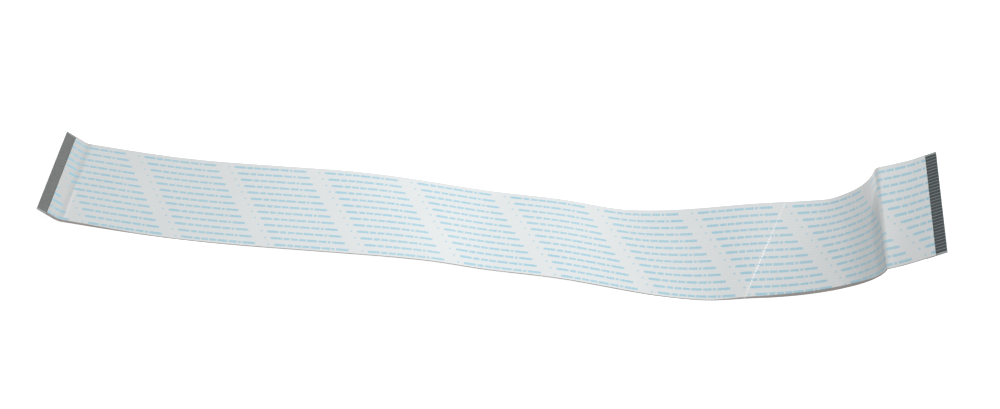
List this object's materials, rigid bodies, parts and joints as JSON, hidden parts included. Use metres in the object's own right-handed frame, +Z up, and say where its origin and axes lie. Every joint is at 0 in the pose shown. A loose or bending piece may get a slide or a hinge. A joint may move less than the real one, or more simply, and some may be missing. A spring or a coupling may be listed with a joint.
{
  "type": "ribbon cable",
  "caption": "Flat flexible ribbon cable with printed white film, bare contacts and a stiffener at each end, lying loosely curved with a folded end.",
  "frame": {"origin": "centre of the bounding box's bottom, on the surface that the cable lies on", "axes": "+Z up; +X from the raised left end to the folded right end; +Y towards the far edge of the film; printed side up"},
  "size_m": [0.2826, 0.037, 0.0515],
  "materials": {
    "film": "glossy white laminated film with pale blue print",
    "stiffener": "pale bluish stiffening strip",
    "tinned_copper": "dull tin plating"
  },
  "bodies": {
    "root": {"upper_film": "film", "lower_film": "film", "left_stiffener": "stiffener", "right_stiffener": "stiffener", "conductor_01": "tinned_copper", "conductor_02": "tinned_copper", "conductor_03": "tinned_copper", "conductor_04": "tinned_copper", "conductor_05": "tinned_copper", "conductor_06": "tinned_copper", "conductor_07": "tinned_copper", "conductor_08": "tinned_copper", "conductor_09": "tinned_copper", "conductor_10": "tinned_copper", "conductor_11": "tinned_copper", "conductor_12": "tinned_copper", "conductor_13": "tinned_copper", "conductor_14": "tinned_copper", "conductor_15": "tinned_copper", "conductor_16": "tinned_copper", "conductor_17": "tinned_copper", "conductor_18": "tinned_copper", "conductor_19": "tinned_copper", "conductor_20": "tinned_copper", "conductor_21": "tinned_copper", "conductor_22": "tinned_copper", "conductor_23": "tinned_copper", "conductor_24": "tinned_copper", "conductor_25": "tinned_copper", "conductor_26": "tinned_copper", "conductor_27": "tinned_copper", "conductor_28": "tinned_copper", "conductor_29": "tinned_copper", "conductor_30": "tinned_copper", "conductor_31": "tinned_copper", "conductor_32": "tinned_copper"}
  },
  "joints": []
}
